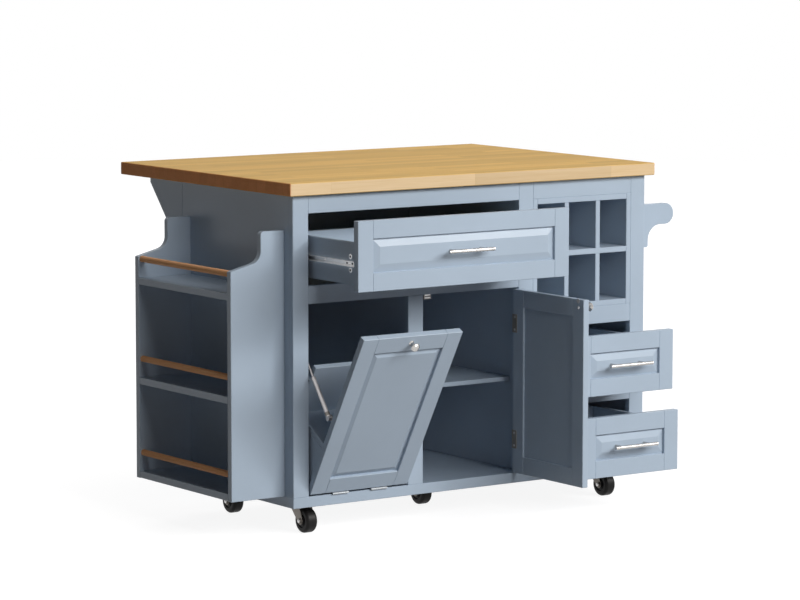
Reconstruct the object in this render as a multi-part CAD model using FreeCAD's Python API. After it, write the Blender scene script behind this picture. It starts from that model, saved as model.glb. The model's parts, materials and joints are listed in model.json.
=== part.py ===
import FreeCAD, Part
import math
import os

# Kitchen cart on casters, shown with its drawers pulled out and its doors open.
# Millimetres. While it is being built, x runs from the cabinet's left side, y from the face of the
# front frame towards the back, and z from the floor. At the end everything moves to the middle of its box.

# Cabinet openings and frame
stile_width = 48.0
rail_width = 48.0
bay_width = 316.0
column_width = 336.0
bay_height = 506.0
wide_opening_height = 188.0
small_opening_height = 170.0
frame_thickness = 18.0
cabinet_depth = 545.0
panel_thickness = 15.0
back_thickness = 6.0
base_thickness = 28.0
deck_thickness = 12.0
edge_break = 1.0

# Worktop
top_thickness = 34.0
top_overhang = 20.0
top_rear_overhang = 293.0
top_edge_radius = 3.0
bracket_reach = 168.0
bracket_drop = 205.0
bracket_nose = 14.0

# Shelf in the middle bay
shelf_thickness = 12.0
shelf_height = 243.0
shelf_setback = 60.0
shelf_side_gap = 1.0
shelf_pin_diameter = 5.0
shelf_pin_length = 12.0
shelf_pin_inset = 60.0

# Bottle rack
bottle_board = 15.0
bottle_depth = 320.0
bottle_columns = 3
bottle_rows = 2

# Framed fronts with raised panels
front_gap = 3.0
front_thickness = 20.0
door_thickness = 18.0
member_width = 47.0
panel_recess = 8.0
panel_raise = 6.0
panel_tongue = 5.0
groove_depth = 8.0
panel_quirk = 1.5
drawer_bevel = 20.0
door_bevel = 14.0

# Drawers
wide_open = 225.0
upper_open = 193.0
lower_open = 217.0
wide_box_height = 109.0
small_box_height = 117.0
box_lift = 19.0
box_depth = 340.0
box_board = 12.0
box_bottom = 6.0
box_bottom_lift = 12.0

# Drawer slides
slide_width = 12.7
slide_height = 27.0
slide_rail_height = 14.0
slide_length = 330.0
slide_sheet = 1.5
slide_running_gap = 0.3
slide_flange_short = 2.7
slide_setback = 2.0
batten_height = 60.0

# Bar handles and knobs
handle_length = 144.0
handle_diameter = 10.0
handle_post_diameter = 8.0
handle_post_spacing = 96.0
handle_projection = 30.0
knob_diameter = 25.0
knob_neck_diameter = 11.0
knob_foot_diameter = 15.0
knob_projection = 28.0
knob_foot_height = 3.5
knob_neck_height = 12.0
knob_rim_height = 19.5
knob_edge_distance = 22.0

# Butt hinges
hinge_length = 50.0
hinge_leaf = 1.2
hinge_leaf_reach = 14.0
hinge_wrap = 19.0
hinge_knuckle_diameter = 6.0
hinge_pin_diameter = 3.0
hinge_pin_fit = 0.03
hinge_axial_gap = 0.3
hinge_proud = 3.3
door_hinge_inset = 92.0
tilt_hinge_spacing = 122.0

# Opened positions of the two doors, in degrees
tilt_open = 30.0
door_open = 90.0

# Bin carrier on the tilting door
bin_inset = 3.0
bin_tray_share = 0.3024
tray_board = 15.0
tray_depth = 138.0
bin_back_share = 0.585
bin_notch_depth = 38.0
cheek_board = 15.0
cheek_foot = 30.0

# Stay strut between the tilting door and the cabinet
strut_x_gap = 7.0
strut_tube_diameter = 12.0
strut_tube_share = 0.467
strut_rod_diameter = 6.0
strut_rod_fit = 0.1
strut_rod_share = 0.623
strut_eye_diameter = 14.0
strut_eye_width = 8.0
strut_pin_diameter = 5.0
strut_pin_fit = 0.05
strut_side_gap = 0.3
strut_plate = 2.0
strut_door_share = 0.4466
strut_door_standoff = 15.5
strut_wall_y = 70.0
strut_wall_share = 0.834
strut_batten_depth = 90.0

# Magnetic catch
catch_width = 24.0
catch_depth = 14.0
catch_height = 15.0
catch_offset = 15.0
catch_gap = 0.5

# Spice rack on the left side
rack_depth = 164.0
rack_board = 18.0
rack_front_y = 41.0
rack_length = 480.0
rack_shoulder = 599.0
rack_neck_rise = 99.0
rack_neck = 72.0
rack_sweep_radius = 32.0
rack_sweep_angle = 14.0
rack_corner_radius = 10.0
rack_foot_lift = 1.0
rack_top_shelf_drop = 75.0
rack_middle_share = 0.486
rack_rod_diameter = 17.0
rack_rod_height = 50.0
rack_rod_inset = 12.0

# Towel bar on the right side
towel_reach = 137.0
towel_head_radius = 29.0
towel_root_height = 120.0
towel_drop = 87.0
towel_rod_diameter = 20.0
towel_foot = 47.0
towel_hollow_radius = 42.0
towel_corner_radius = 6.0

# Casters
caster_height = 75.0
wheel_diameter = 65.0
wheel_width = 33.0
wheel_edge_radius = 8.0
wheel_hub_radius = 14.0
wheel_dish = 2.5
axle_diameter = 8.0
axle_fit = 0.1
axle_head = 3.0
fork_sheet = 2.5
fork_side_gap = 1.2
fork_trail = 27.0
fork_top_length = 46.0
fork_top_gap = 2.5
fork_end_radius = 10.0
fork_end_angle = 37.0
caster_plate_size = 62.0
caster_plate_thickness = 2.5
caster_swivel_gap = 0.3
kingpin_diameter = 12.0
kingpin_fit = 0.1
race_diameter = 40.0
caster_left_inset = 69.0
caster_right_inset = 99.0
caster_front_inset = 72.0
caster_rear_inset = 113.0

# Places that follow from the sizes above
x_bay_one = stile_width
x_post = x_bay_one + bay_width
x_bay_two = x_post + stile_width
x_middle = x_bay_two + bay_width
x_column = x_middle + stile_width
x_right = x_column + column_width
cabinet_width = x_right + stile_width

z_base = caster_height
z_bay = z_base + base_thickness
z_deck = z_bay + bay_height
z_wide = z_deck + rail_width
z_top_rail = z_wide + wide_opening_height
z_top = z_top_rail + rail_width
z_lower_top = z_bay + small_opening_height
z_upper = z_lower_top + rail_width
z_upper_top = z_upper + small_opening_height
z_bottles = z_upper_top + rail_width

x_partition = x_middle + stile_width / 2 - panel_thickness / 2
x_divider = x_post + stile_width / 2 - panel_thickness / 2
y_back = cabinet_depth - back_thickness
door_width = bay_width - 2 * front_gap
door_height = bay_height - 2 * front_gap
x_tilt = x_bay_one + front_gap
x_door = x_bay_two + front_gap
z_door = z_bay + front_gap
door_pivot = FreeCAD.Vector(x_middle - front_gap / 2, -hinge_proud, 0)
tilt_pivot = FreeCAD.Vector(0, -hinge_proud, z_bay + front_gap / 2)

door_free_end = -hinge_proud - front_gap / 2 - door_width
origin_x = (cabinet_width + towel_reach - rack_depth) / 2
origin_y = (door_free_end + cabinet_depth + top_rear_overhang) / 2
origin = FreeCAD.Vector(origin_x, origin_y, 0)

X_AXIS = FreeCAD.Vector(1, 0, 0)
Y_AXIS = FreeCAD.Vector(0, 1, 0)
Z_AXIS = FreeCAD.Vector(0, 0, 1)


def point(x, y, z):
    return FreeCAD.Vector(x, y, z)


def block(x0, x1, y0, y1, z0, z1):
    return Part.makeBox(x1 - x0, y1 - y0, z1 - z0, point(x0, y0, z0))


def eased(solid):
    return solid.makeChamfer(edge_break, solid.Edges)


def board(x0, x1, y0, y1, z0, z1):
    return eased(block(x0, x1, y0, y1, z0, z1))


def rod(diameter, start, direction, length):
    return Part.makeCylinder(diameter / 2, length, start, direction)


def plate(edges, thickness_vector):
    return Part.Face(Part.Wire(edges)).extrude(thickness_vector)


def polygon_plate(points, thickness_vector):
    wire = Part.makePolygon(points + points[:1])
    return Part.Face(wire).extrude(thickness_vector)


def line(start, end):
    return Part.LineSegment(start, end).toShape()


def arc(start, middle, end):
    return Part.Arc(start, middle, end).toShape()


def fused(solids):
    return solids[0].fuse(solids[1:]).removeSplitter()


def save(node, solids):
    shape = Part.makeCompound(solids)
    shape.translate(origin.negative())
    os.makedirs("parts", exist_ok=True)
    shape.exportStep("parts/" + node + ".step")


def make_carcass():
    save("base_panel", [board(0, cabinet_width, 0, cabinet_depth, z_base, z_bay)])
    sides = {"left_side_panel": 0, "right_side_panel": cabinet_width - panel_thickness}
    for node, x in sides.items():
        save(node, [board(x, x + panel_thickness, frame_thickness, cabinet_depth, z_bay, z_top)])
    inner_left = panel_thickness
    inner_right = cabinet_width - panel_thickness
    save("back_panel", [board(inner_left, inner_right, y_back, cabinet_depth, z_bay, z_top)])
    inner_boards = {"partition_panel": (x_partition, x_partition + panel_thickness, z_bay, z_top),
                    "divider_panel": (x_divider, x_divider + panel_thickness, z_bay, z_deck),
                    "drawer_deck": (inner_left, x_partition, z_deck, z_deck + deck_thickness)}
    for node, (x0, x1, z0, z1) in inner_boards.items():
        save(node, [board(x0, x1, frame_thickness, y_back, z0, z1)])


def make_front_frame():
    stiles = []
    for x in (0, x_middle, x_right):
        stiles.append(board(x, x + stile_width, 0, frame_thickness, z_bay, z_top))
    stiles.append(board(x_post, x_post + stile_width, 0, frame_thickness, z_bay, z_deck))
    save("front_stiles", stiles)
    rails = []
    for z in (z_deck, z_top_rail):
        rails.append(board(x_bay_one, x_middle, 0, frame_thickness, z, z + rail_width))
    for z in (z_lower_top, z_upper_top, z_top_rail):
        rails.append(board(x_column, x_right, 0, frame_thickness, z, z + rail_width))
    save("front_rails", rails)


def make_worktop():
    slab = block(-top_overhang, cabinet_width + top_overhang,
                 -top_overhang, cabinet_depth + top_rear_overhang,
                 z_top, z_top + top_thickness)
    save("worktop", [slab.makeFillet(top_edge_radius, slab.Edges)])
    brackets = []
    for x in (0, cabinet_width - panel_thickness):
        outline = [point(x, cabinet_depth, z_top),
                   point(x, cabinet_depth + bracket_reach, z_top),
                   point(x, cabinet_depth + bracket_reach, z_top - bracket_nose),
                   point(x, cabinet_depth, z_top - bracket_drop)]
        brackets.append(eased(polygon_plate(outline, X_AXIS * panel_thickness)))
    save("overhang_brackets", brackets)


def make_shelf():
    x0 = x_divider + panel_thickness + shelf_side_gap
    x1 = x_partition - shelf_side_gap
    z = z_bay + shelf_height
    save("cabinet_shelf", [board(x0, x1, shelf_setback, y_back, z, z + shelf_thickness)])
    pins = []
    for y in (shelf_setback + shelf_pin_inset, y_back - shelf_pin_inset):
        for x, direction in ((x_divider + panel_thickness, X_AXIS), (x_partition, X_AXIS.negative())):
            start = point(x, y, z - shelf_pin_diameter / 2)
            pins.append(rod(shelf_pin_diameter, start, direction, shelf_pin_length))
    save("shelf_pins", pins)


def make_bottle_rack():
    cell_width = (column_width - (bottle_columns + 1) * bottle_board) / bottle_columns
    cell_height = (z_top_rail - z_bottles - (bottle_rows + 1) * bottle_board) / bottle_rows
    uprights = []
    for x in (x_column, x_right - bottle_board):
        uprights.append(board(x, x + bottle_board, 0, bottle_depth, z_bottles, z_top_rail))
    for row in range(bottle_rows):
        z = z_bottles + bottle_board + row * (cell_height + bottle_board)
        for step in range(1, bottle_columns):
            x = x_column + step * (cell_width + bottle_board)
            uprights.append(board(x, x + bottle_board, 0, bottle_depth, z, z + cell_height))
    save("wine_rack_uprights", uprights)
    shelves = []
    for row in range(bottle_rows + 1):
        z = z_bottles + row * (cell_height + bottle_board)
        shelves.append(board(x_column + bottle_board, x_right - bottle_board, 0, bottle_depth,
                             z, z + bottle_board))
    save("wine_rack_shelves", shelves)
    save("wine_rack_back", [board(x_column, x_right, bottle_depth, bottle_depth + back_thickness,
                                  z_bottles, z_top_rail)])


def raised_front(width, height, thickness, bevel):
    # two stiles, two rails and a raised panel held in their grooves, with the face at y = 0
    groove_front = panel_recess
    groove_rear = panel_recess + panel_tongue
    inner_x = (member_width, width - member_width)
    inner_z = (member_width, height - member_width)
    tongue = block(inner_x[0] - groove_depth, inner_x[1] + groove_depth, groove_front, groove_rear,
                   inner_z[0] - groove_depth, inner_z[1] + groove_depth)
    pieces = []
    for x in (0, width - member_width):
        pieces.append(board(x, x + member_width, 0, thickness, 0, height).cut(tongue))
    for z in (0, height - member_width):
        pieces.append(board(inner_x[0], inner_x[1], 0, thickness, z, z + member_width).cut(tongue))
    steps = []
    for inset, y in ((panel_quirk, panel_recess), (panel_quirk + bevel, panel_recess - panel_raise)):
        corners = [point(inner_x[0] + inset, y, inner_z[0] + inset),
                   point(inner_x[1] - inset, y, inner_z[0] + inset),
                   point(inner_x[1] - inset, y, inner_z[1] - inset),
                   point(inner_x[0] + inset, y, inner_z[1] - inset)]
        steps.append(Part.makePolygon(corners + corners[:1]))
    field = Part.makeLoft(steps, True, True)
    pieces.append(fused([tongue, field]))
    return pieces


def moved(solids, x, y, z):
    for solid in solids:
        solid.translate(point(x, y, z))
    return solids


def bar_handle(x, y, z):
    # the bar runs along x in front of the face at y
    bar_y = y - handle_projection
    bar = rod(handle_diameter, point(x - handle_length / 2, bar_y, z), X_AXIS, handle_length)
    pieces = [bar]
    for side in (-1, 1):
        start = point(x + side * handle_post_spacing / 2, y, z)
        pieces.append(rod(handle_post_diameter, start, Y_AXIS.negative(), handle_projection))
    return fused(pieces)


def knob(x, y, z):
    # turned knob standing out along -y from the face at y
    foot = knob_foot_diameter / 2
    neck = knob_neck_diameter / 2
    head = knob_diameter / 2
    dome = knob_projection - knob_rim_height
    dome_radius = (dome ** 2 + head ** 2) / (2 * dome)
    dome_half = math.asin(head / dome_radius) / 2
    crown = point(dome_radius * math.sin(dome_half),
                  dome_radius * (1 - math.cos(dome_half)) - knob_projection, 0)
    outline = [line(point(0, 0, 0), point(foot, 0, 0)),
               line(point(foot, 0, 0), point(neck, -knob_foot_height, 0)),
               line(point(neck, -knob_foot_height, 0), point(neck, -knob_neck_height, 0)),
               line(point(neck, -knob_neck_height, 0), point(head, -knob_rim_height, 0)),
               arc(point(head, -knob_rim_height, 0), crown, point(0, -knob_projection, 0)),
               line(point(0, -knob_projection, 0), point(0, 0, 0))]
    solid = Part.Face(Part.Wire(outline)).revolve(point(0, 0, 0), Y_AXIS, 360)
    solid.translate(point(x, y, z))
    return solid


def slide_sections(flange, web):
    # a web with a flange above and below it, as x and z limits measured from the wall
    sections = [web]
    for sign in (-1, 1):
        z0, z1 = sorted((sign * flange[2], sign * flange[3]))
        sections.append((flange[0], flange[1], z0, z1))
    return sections


def slide_piece(sections, x, side, y, z):
    # side is 1 where the wall is to the left of the slide, and -1 where it is to the right
    pieces = []
    for x0, x1, z0, z1 in sections:
        ends = sorted((x + side * x0, x + side * x1))
        pieces.append(block(ends[0], ends[1], y, y + slide_length, z + z0, z + z1))
    return fused(pieces)


def slide_channel(x, side, y, z):
    # the flanges are as thick as the sheet and the row of balls together
    half = slide_height / 2
    inner = slide_rail_height / 2 + slide_running_gap
    flange = (0, slide_width - slide_flange_short, inner, half)
    return slide_piece(slide_sections(flange, (0, slide_sheet, -half, half)), x, side, y, z)


def slide_rail(x, side, y, z):
    half = slide_rail_height / 2
    flange = (slide_sheet + 2 * slide_running_gap, slide_width, half - slide_sheet, half)
    web = (slide_width - slide_sheet, slide_width, -half, half)
    return slide_piece(slide_sections(flange, web), x, side, y, z)


def drawer_places():
    # name, left and right of the opening, its bottom and top, height of the box, distance pulled out
    return (("wide", x_bay_one, x_middle, z_wide, z_top_rail, wide_box_height, wide_open),
            ("upper", x_column, x_right, z_upper, z_upper_top, small_box_height, upper_open),
            ("lower", x_column, x_right, z_bay, z_lower_top, small_box_height, lower_open))


def make_drawers():
    channels = []
    battens = []
    for name, left, right, bottom, top, box_height, pulled in drawer_places():
        width = right - left - 2 * front_gap
        height = top - bottom - 2 * front_gap
        front = raised_front(width, height, front_thickness, drawer_bevel)
        save(name + "_drawer_front", moved(front, left + front_gap, -pulled, bottom + front_gap))
        handle = bar_handle((left + right) / 2, panel_recess - panel_raise - pulled, (bottom + top) / 2)
        save(name + "_drawer_handle", [handle])
        y = front_thickness - pulled
        x0 = left + slide_width
        x1 = right - slide_width
        z0 = bottom + box_lift
        z1 = z0 + box_height
        floor = z0 + box_bottom_lift
        inner_x0 = x0 + box_board
        inner_x1 = x1 - box_board
        box_back = y + box_depth
        box = [board(x0, inner_x0, y, box_back, z0, z1),
               board(inner_x1, x1, y, box_back, z0, z1),
               board(inner_x0, inner_x1, box_back - box_board, box_back, floor + box_bottom, z1),
               board(inner_x0, inner_x1, y, box_back, floor, floor + box_bottom)]
        save(name + "_drawer_box", box)
        slide_z = (z0 + z1) / 2
        rails = [slide_rail(left, 1, y, slide_z), slide_rail(right, -1, y, slide_z)]
        save(name + "_drawer_slide_rails", rails)
        channel_y = frame_thickness + slide_setback
        channels.append(slide_channel(left, 1, channel_y, slide_z))
        channels.append(slide_channel(right, -1, channel_y, slide_z))
        walls = {x_bay_one: (panel_thickness, x_bay_one), x_middle: (x_middle, x_partition),
                 x_column: (x_partition + panel_thickness, x_column),
                 x_right: (x_right, cabinet_width - panel_thickness)}
        for edge in (left, right):
            wall = walls[edge]
            battens.append(block(wall[0], wall[1], frame_thickness, channel_y + slide_length,
                                 slide_z - batten_height / 2, slide_z + batten_height / 2))
    battens.append(block(panel_thickness, x_bay_one, frame_thickness, frame_thickness + strut_batten_depth,
                         z_bay, z_deck))
    save("slide_channels", channels)
    save("slide_battens", battens)


def hinge_pieces(edge_thickness):
    # butt hinge with its pin along z through the origin; the fixed leaf is on the +x side, and the
    # moving leaf runs along the door's edge on the -x side and wraps round onto its inner face
    radius = hinge_knuckle_diameter / 2
    bore = hinge_pin_diameter + 2 * hinge_pin_fit
    third = hinge_length / 3
    base = -hinge_length / 2
    spans = {"fixed": ((base, base + third - hinge_axial_gap), (-base - third + hinge_axial_gap, -base)),
             "moving": ((base + third, -base - third),)}
    inner = hinge_proud + edge_thickness
    half_gap = front_gap / 2
    clear = radius + hinge_axial_gap
    leaves = {}
    for name, sign, reach in (("fixed", 1, hinge_proud + hinge_leaf_reach), ("moving", -1, inner)):
        x0, x1 = sorted((sign * (half_gap - hinge_leaf), sign * half_gap))
        pieces = [block(x0, x1, clear, reach, base, -base)]
        for z0, z1 in spans[name]:
            pieces.append(block(x0, x1, 0, clear, z0, z1))
            pieces.append(rod(hinge_knuckle_diameter, point(0, 0, z0), Z_AXIS, z1 - z0))
        if name == "moving":
            pieces.append(block(x0 - hinge_wrap, x1, inner, inner + hinge_leaf, base, -base))
        leaf = fused(pieces).cut(rod(bore, point(0, 0, base), Z_AXIS, hinge_length))
        leaves[name] = leaf
    pin = rod(hinge_pin_diameter, point(0, 0, base), Z_AXIS, hinge_length)
    return [leaves["fixed"], pin], [leaves["moving"]]


def tilted(solids):
    for solid in solids:
        solid.rotate(tilt_pivot, X_AXIS, tilt_open)
    return solids


def swung(solids):
    for solid in solids:
        solid.rotate(door_pivot, Z_AXIS, door_open)
    return solids


def make_hinges():
    fixed = []
    tilt_leaves = []
    door_leaves = []
    x_centre = x_tilt + door_width / 2
    for side in (-1, 1):
        frame_side, door_side = hinge_pieces(door_thickness)
        for solid in frame_side + door_side:
            solid.rotate(point(0, 0, 0), Y_AXIS, 90)
            solid.translate(point(x_centre + side * tilt_hinge_spacing / 2, tilt_pivot.y, tilt_pivot.z))
        fixed.extend(frame_side)
        tilt_leaves.extend(door_side)
    for z in (z_door + door_hinge_inset, z_door + door_height - door_hinge_inset):
        frame_side, door_side = hinge_pieces(door_thickness)
        for solid in frame_side + door_side:
            solid.translate(point(door_pivot.x, door_pivot.y, z))
        fixed.extend(frame_side)
        door_leaves.extend(door_side)
    save("hinge_frame_leaves", fixed)
    save("tilt_hinge_leaves", tilted(tilt_leaves))
    save("door_hinge_leaves", swung(door_leaves))


def make_tilt_door():
    front = raised_front(door_width, door_height, door_thickness, door_bevel)
    save("tilt_door", tilted(moved(front, x_tilt, 0, z_door)))
    save("tilt_knob", tilted([knob(x_tilt + door_width / 2, 0, z_door + door_height - knob_edge_distance)]))
    x0 = x_tilt + bin_inset
    x1 = x_tilt + door_width - bin_inset
    tray_y = door_thickness + tray_depth
    tray_top = z_door + bin_tray_share * bay_height
    tray_bottom = tray_top - tray_board
    pieces = [board(x0, x1, door_thickness, tray_y, tray_bottom, tray_top)]
    for x in (x0, x1 - cheek_board):
        outline = [point(x, door_thickness, tray_bottom), point(x, tray_y, tray_bottom),
                   point(x, tray_y, tray_bottom - cheek_foot), point(x, door_thickness, z_door + cheek_foot)]
        pieces.append(eased(polygon_plate(outline, X_AXIS * cheek_board)))
    save("tilt_bin_tray", tilted(pieces))
    back_top = z_door + bin_back_share * bay_height
    back = board(x0, x1, tray_y, tray_y + tray_board, tray_bottom - cheek_foot, back_top)
    # the corner beside the wall is cut away where the strut passes
    notch = block(x0, x_bay_one + 2 * strut_x_gap, tray_y, tray_y + tray_board,
                  back_top - bin_notch_depth, back_top)
    save("tilt_bin_back", tilted([back.cut(notch)]))


def make_strut():
    x = x_bay_one + strut_x_gap
    eye = strut_eye_width / 2
    door_eye = point(x, door_thickness + strut_door_standoff, z_door + strut_door_share * bay_height)
    lug_x = x + strut_tube_diameter / 2 + strut_side_gap
    lug = block(lug_x, lug_x + strut_plate, door_thickness, door_eye.y + strut_eye_diameter / 2,
                door_eye.z - strut_eye_diameter / 2, door_eye.z + strut_eye_diameter / 2)
    foot = block(lug_x, lug_x + 2 * strut_eye_diameter, door_thickness, door_thickness + strut_plate,
                 door_eye.z - strut_eye_diameter / 2, door_eye.z + strut_eye_diameter / 2)
    save("strut_door_bracket", tilted([fused([lug, foot])]))
    marker = Part.Vertex(door_eye)
    marker.rotate(tilt_pivot, X_AXIS, tilt_open)
    lower = marker.Point
    upper = point(x, strut_wall_y, z_bay + strut_wall_share * bay_height)
    span = upper.sub(lower)
    length = span.Length
    lean = math.degrees(math.atan2(span.y, span.z))
    mount = block(x_bay_one, x_bay_one + strut_plate,
                  upper.y - strut_eye_diameter, upper.y + strut_eye_diameter,
                  upper.z - strut_eye_diameter, upper.z + strut_eye_diameter)
    pin_length = x + eye + strut_side_gap - x_bay_one
    pin = rod(strut_pin_diameter, point(x_bay_one, upper.y, upper.z), X_AXIS, pin_length)
    head = rod(2 * strut_pin_diameter, point(x_bay_one + pin_length, upper.y, upper.z), X_AXIS, strut_plate)
    save("strut_side_bracket", [fused([mount, pin, head])])
    # the strut is drawn hanging straight down from its upper eye and then leaned towards the door
    down = Z_AXIS.negative()
    eye_start = point(x - eye, upper.y, upper.z)
    bore = rod(strut_pin_diameter + 2 * strut_pin_fit, eye_start, X_AXIS, strut_eye_width)
    top_eye = rod(strut_eye_diameter, eye_start, X_AXIS, strut_eye_width)
    stem = rod(strut_rod_diameter, upper, down, strut_rod_share * length)
    rod_piece = fused([top_eye, stem]).cut(bore)
    tube_start = upper.z - length
    low_eye = rod(strut_eye_diameter, point(x - strut_tube_diameter / 2, upper.y, tube_start), X_AXIS,
                  strut_tube_diameter)
    tube_length = strut_tube_share * length
    tube = rod(strut_tube_diameter, point(x, upper.y, tube_start), Z_AXIS, tube_length)
    hollow_start = point(x, upper.y, tube_start + strut_eye_diameter)
    hollow = rod(strut_rod_diameter + 2 * strut_rod_fit, hollow_start, Z_AXIS, tube_length)
    tube_piece = fused([low_eye, tube]).cut(hollow)
    for node, solid in (("strut_rod", rod_piece), ("strut_tube", tube_piece)):
        solid.rotate(upper, X_AXIS, -lean)
        save(node, [solid])


def make_cabinet_door():
    front = raised_front(door_width, door_height, door_thickness, door_bevel)
    save("cabinet_door", swung(moved(front, x_door, 0, z_door)))
    top = z_door + door_height - knob_edge_distance
    save("door_knob", swung([knob(x_door + knob_edge_distance, 0, top)]))
    catch_x = x_bay_two + catch_offset
    y = door_thickness + catch_gap
    save("door_catch", [block(catch_x, catch_x + catch_width, y, y + catch_depth,
                              z_deck - catch_height, z_deck)])


def rack_side(y):
    # board with a narrow neck that sweeps out to a shoulder; z counts from the rack's bottom
    bottom = z_bay
    angle = math.radians(rack_sweep_angle)
    sweep_x = -rack_neck - rack_sweep_radius
    low_x = sweep_x + rack_sweep_radius * math.sin(angle)
    low_z = bottom + rack_shoulder + (low_x + rack_depth) * math.tan(angle)
    sweep_z = low_z + rack_sweep_radius * math.cos(angle)
    middle = (angle + math.pi / 2) / 2
    crown = bottom + rack_shoulder + rack_neck_rise
    corner = rack_corner_radius
    bend = corner * (1 - math.sqrt(0.5))
    foot = point(0, y, bottom)
    outer_foot = point(-rack_depth, y, bottom)
    shoulder = point(-rack_depth, y, bottom + rack_shoulder)
    low = point(low_x, y, low_z)
    sweep = point(sweep_x + rack_sweep_radius * math.sin(middle), y,
                  sweep_z - rack_sweep_radius * math.cos(middle))
    neck = point(-rack_neck, y, sweep_z)
    corner_start = point(-rack_neck, y, crown - corner)
    corner_bend = point(-rack_neck + bend, y, crown - bend)
    corner_end = point(-rack_neck + corner, y, crown)
    head = point(0, y, crown)
    edges = [line(foot, outer_foot), line(outer_foot, shoulder), line(shoulder, low), arc(low, sweep, neck),
             line(neck, corner_start), arc(corner_start, corner_bend, corner_end), line(corner_end, head),
             line(head, foot)]
    return eased(plate(edges, Y_AXIS * rack_board))


def make_spice_rack():
    rear_y = rack_front_y + rack_length - rack_board
    save("spice_rack_sides", [rack_side(rack_front_y), rack_side(rear_y)])
    inner_y = rack_front_y + rack_board
    shelves = []
    rods = []
    rise = rack_shoulder - rack_top_shelf_drop - rack_foot_lift
    for share in (0, rack_middle_share, 1):
        top = z_bay + rack_foot_lift + share * rise + rack_board
        shelves.append(board(-rack_depth, 0, inner_y, rear_y, top - rack_board, top))
        start = point(-rack_depth + rack_rod_inset, inner_y, top + rack_rod_height)
        rods.append(rod(rack_rod_diameter, start, Y_AXIS, rear_y - inner_y))
    save("spice_rack_shelves", shelves)
    save("spice_rack_rods", rods)


def towel_bracket(y):
    # arm with a round head at its end and a hollow underside that turns down to a tall foot
    crown = z_top - towel_drop
    head_x = cabinet_width + towel_reach - towel_head_radius
    head_z = crown - towel_head_radius
    under_z = head_z - towel_head_radius
    foot_x = cabinet_width + towel_foot
    foot_z = crown - towel_root_height
    hollow = towel_hollow_radius
    hollow_bend = hollow * (1 - math.sqrt(0.5))
    corner = towel_corner_radius
    corner_bend = corner * (1 - math.sqrt(0.5))
    edges = [line(point(cabinet_width, y, foot_z), point(cabinet_width, y, crown)),
             line(point(cabinet_width, y, crown), point(head_x, y, crown)),
             arc(point(head_x, y, crown), point(head_x + towel_head_radius, y, head_z),
                 point(head_x, y, under_z)),
             line(point(head_x, y, under_z), point(foot_x + hollow, y, under_z)),
             arc(point(foot_x + hollow, y, under_z), point(foot_x + hollow_bend, y, under_z - hollow_bend),
                 point(foot_x, y, under_z - hollow)),
             line(point(foot_x, y, under_z - hollow), point(foot_x, y, foot_z + corner)),
             arc(point(foot_x, y, foot_z + corner), point(foot_x - corner_bend, y, foot_z + corner_bend),
                 point(foot_x - corner, y, foot_z)),
             line(point(foot_x - corner, y, foot_z), point(cabinet_width, y, foot_z))]
    return eased(plate(edges, Y_AXIS * rack_board))


def make_towel_bar():
    rear_y = rack_front_y + rack_length - rack_board
    save("towel_brackets", [towel_bracket(rack_front_y), towel_bracket(rear_y)])
    inner_y = rack_front_y + rack_board
    head_x = cabinet_width + towel_reach - towel_head_radius
    head_z = z_top - towel_drop - towel_head_radius
    save("towel_rod", [rod(towel_rod_diameter, point(head_x, inner_y, head_z), Y_AXIS, rear_y - inner_y)])


def caster_places():
    left = caster_left_inset
    right = cabinet_width - caster_right_inset
    front = caster_front_inset
    rear = cabinet_depth - caster_rear_inset
    middle = ((left + right) / 2, (front + rear) / 2)
    return ((left, front), (right, front), (left, rear), (right, rear), middle)


def wheel(x, y, z):
    # tread with rounded shoulders, a raised hub and a shallow dish in each side
    radius = wheel_diameter / 2
    half = wheel_width / 2
    edge = wheel_edge_radius
    bend = edge * (1 - math.sqrt(0.5))
    bore = axle_diameter / 2 + axle_fit
    rim = radius - 2 * edge
    outline = [line(point(-half, bore, 0), point(-half, wheel_hub_radius, 0)),
               line(point(-half, wheel_hub_radius, 0), point(-half + wheel_dish, wheel_hub_radius, 0)),
               line(point(-half + wheel_dish, wheel_hub_radius, 0), point(-half + wheel_dish, rim, 0)),
               line(point(-half + wheel_dish, rim, 0), point(-half, rim + wheel_dish, 0)),
               line(point(-half, rim + wheel_dish, 0), point(-half, radius - edge, 0)),
               arc(point(-half, radius - edge, 0), point(-half + bend, radius - bend, 0),
                   point(-half + edge, radius, 0)),
               line(point(-half + edge, radius, 0), point(half - edge, radius, 0)),
               arc(point(half - edge, radius, 0), point(half - bend, radius - bend, 0),
                   point(half, radius - edge, 0)),
               line(point(half, radius - edge, 0), point(half, rim + wheel_dish, 0)),
               line(point(half, rim + wheel_dish, 0), point(half - wheel_dish, rim, 0)),
               line(point(half - wheel_dish, rim, 0), point(half - wheel_dish, wheel_hub_radius, 0)),
               line(point(half - wheel_dish, wheel_hub_radius, 0), point(half, wheel_hub_radius, 0)),
               line(point(half, wheel_hub_radius, 0), point(half, bore, 0)),
               line(point(half, bore, 0), point(-half, bore, 0))]
    solid = Part.Face(Part.Wire(outline)).revolve(point(0, 0, 0), X_AXIS, 360)
    solid.translate(point(x, y, z))
    return solid


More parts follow.
